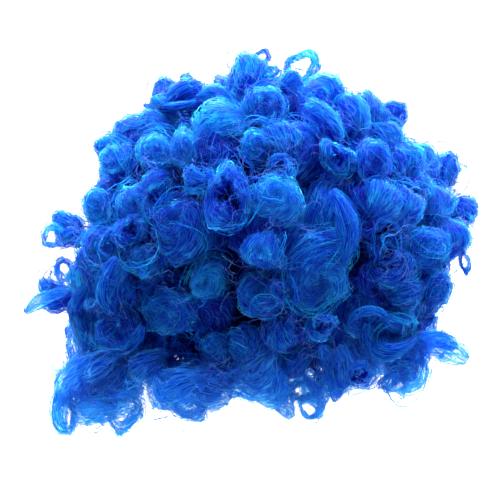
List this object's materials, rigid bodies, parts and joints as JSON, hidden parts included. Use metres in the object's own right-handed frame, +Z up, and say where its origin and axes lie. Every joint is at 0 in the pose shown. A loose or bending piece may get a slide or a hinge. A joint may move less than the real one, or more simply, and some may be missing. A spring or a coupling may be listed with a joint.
{
  "type": "curly wig",
  "caption": "Short curly wig: a stretch-net cap with an elastic rim, covered from hem to crown in round curled locks; worn on the head, and stands by itself on a table.",
  "frame": {"origin": "on the table, under the middle of the wig's bounding box", "axes": "+Z up; +X and -X along the cap's long axis, the wearer's face towards -X; the picture looks along +Y"},
  "size_m": [0.314, 0.2782, 0.2077],
  "materials": {
    "hair": "bright blue curled synthetic fibre, satin, lets light through at the thin edges",
    "net": "dark navy open stretch net, matt",
    "band": "dark navy ribbed elastic band, matt"
  },
  "bodies": {
    "root": {"lock_crown_01": "hair", "lock_crown_02": "hair", "lock_crown_03": "hair", "lock_crown_04": "hair", "lock_hem_01": "hair", "lock_hem_02": "hair", "lock_hem_03": "hair", "lock_hem_04": "hair", "lock_hem_05": "hair", "lock_hem_06": "hair", "lock_hem_07": "hair", "lock_hem_08": "hair", "lock_hem_09": "hair", "lock_hem_10": "hair", "lock_hem_11": "hair", "lock_hem_12": "hair", "lock_hem_13": "hair", "lock_side_01": "hair", "lock_side_02": "hair", "lock_side_03": "hair", "lock_side_04": "hair", "lock_side_05": "hair", "lock_side_06": "hair", "lock_side_07": "hair", "lock_side_08": "hair", "lock_side_09": "hair", "lock_side_10": "hair", "lock_side_11": "hair", "lock_side_12": "hair", "lock_side_13": "hair", "lock_temple_01": "hair", "lock_temple_02": "hair", "lock_temple_03": "hair", "lock_temple_04": "hair", "lock_temple_05": "hair", "lock_temple_06": "hair", "lock_temple_07": "hair", "lock_temple_08": "hair", "lock_temple_09": "hair", "lock_temple_10": "hair", "lock_temple_11": "hair", "lock_upper_01": "hair", "lock_upper_02": "hair", "lock_upper_03": "hair", "lock_upper_04": "hair", "lock_upper_05": "hair", "lock_upper_06": "hair", "lock_upper_07": "hair", "lock_upper_08": "hair", "net_cap": "net", "rim_band": "band"}
  },
  "joints": []
}
